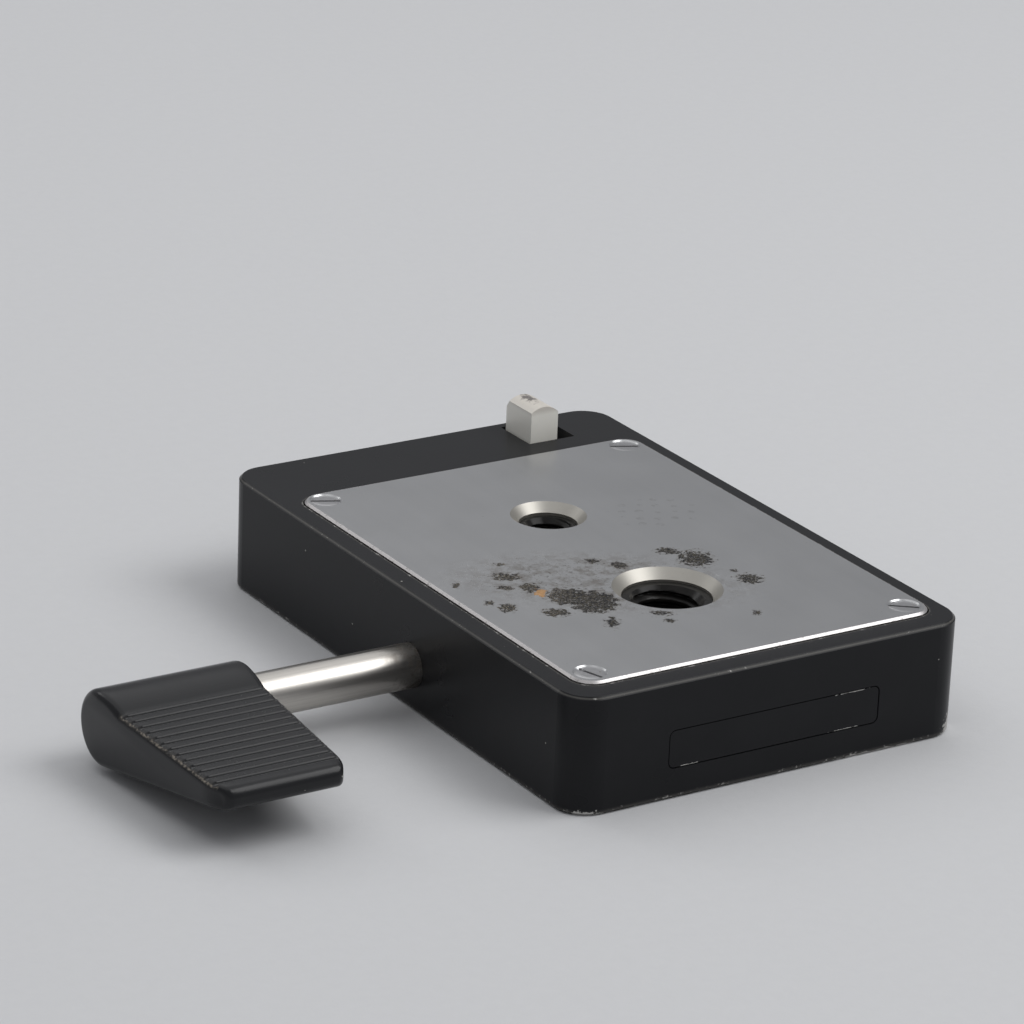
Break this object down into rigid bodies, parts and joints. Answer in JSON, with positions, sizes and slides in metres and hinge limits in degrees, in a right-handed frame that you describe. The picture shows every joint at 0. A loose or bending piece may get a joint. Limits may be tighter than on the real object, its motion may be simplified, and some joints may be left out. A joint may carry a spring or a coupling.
{
  "type": "tripod quick release coupling",
  "caption": "Low-profile quick release coupling: slide-in camera guide with lever clamp and safety catch, and 3/8 and 1/4 inch tripod sockets on its other side.",
  "frame": {"origin": "middle of the camera foot guide, in the plane of the camera side", "axes": "+Y along the guide, the way the camera's foot slides out; +Z towards the tripod side; +X away from the lever"},
  "size_m": [0.1055, 0.089, 0.0211],
  "materials": {
    "black_paint": "satin black paint, fine grain, a few bare chips at the lower corners",
    "handle_paint": "satin black paint, worn to a shine on the ribs and the nose",
    "catch_steel": "nickelled, finely scratched, worn dark on the crown",
    "stainless_plate": "fine satin with light stains",
    "dark_steel": "blackened and oily",
    "shaft_steel": "drawn along its length",
    "screw_steel": "turned, with a few stains",
    "label_metal": "dark satin, bare",
    "spring_steel": "polished wire",
    "clamp_steel": "ground",
    "ring_rubber": "matte"
  },
  "bodies": {
    "coupling": {"body_block": "black_paint", "base_plate": "stainless_plate", "base_plate_screws": "screw_steel", "large_thread_insert": "dark_steel", "small_thread_insert": "dark_steel", "label_plate": "label_metal", "left_guide_rail": "clamp_steel", "right_guide_rail": "clamp_steel", "guide_rail_screws": "screw_steel", "shaft_stop_screw": "dark_steel", "clamp_springs": "spring_steel", "catch_spring": "spring_steel", "catch_cover": "clamp_steel", "catch_cover_screws": "screw_steel"},
    "lever": {"lever_handle": "handle_paint", "lever_shaft": "shaft_steel", "handle_set_screw": "dark_steel", "lever_friction_ring": "ring_rubber"},
    "clamp": {"clamp_plate": "clamp_steel", "clamp_screws": "screw_steel"},
    "catch": {"catch_slider": "catch_steel"}
  },
  "joints": [
    {"name": "lever_swing", "type": "hinge", "parent": "coupling", "child": "lever", "pos_m": [-0.03, -0.0052, 0.0061], "axis": [-1, 0, 0], "range_deg": [0, 90]},
    {"name": "clamp_lift", "type": "slide", "parent": "coupling", "child": "clamp", "axis": [0, 0, 1], "range_m": [0, 0.0008], "deforming": ["clamp_springs"]},
    {"name": "catch_slide", "type": "slide", "parent": "coupling", "child": "catch", "axis": [1, 0, 0], "range_m": [0, 0.0027], "stiffness_N_per_m": 300, "springref_m": -0.004, "deforming": ["catch_spring"]}
  ],
  "couplings": [
    {"joint": "lever_swing", "follows": "clamp_lift", "rad_per_m": 1963.5}
  ]
}
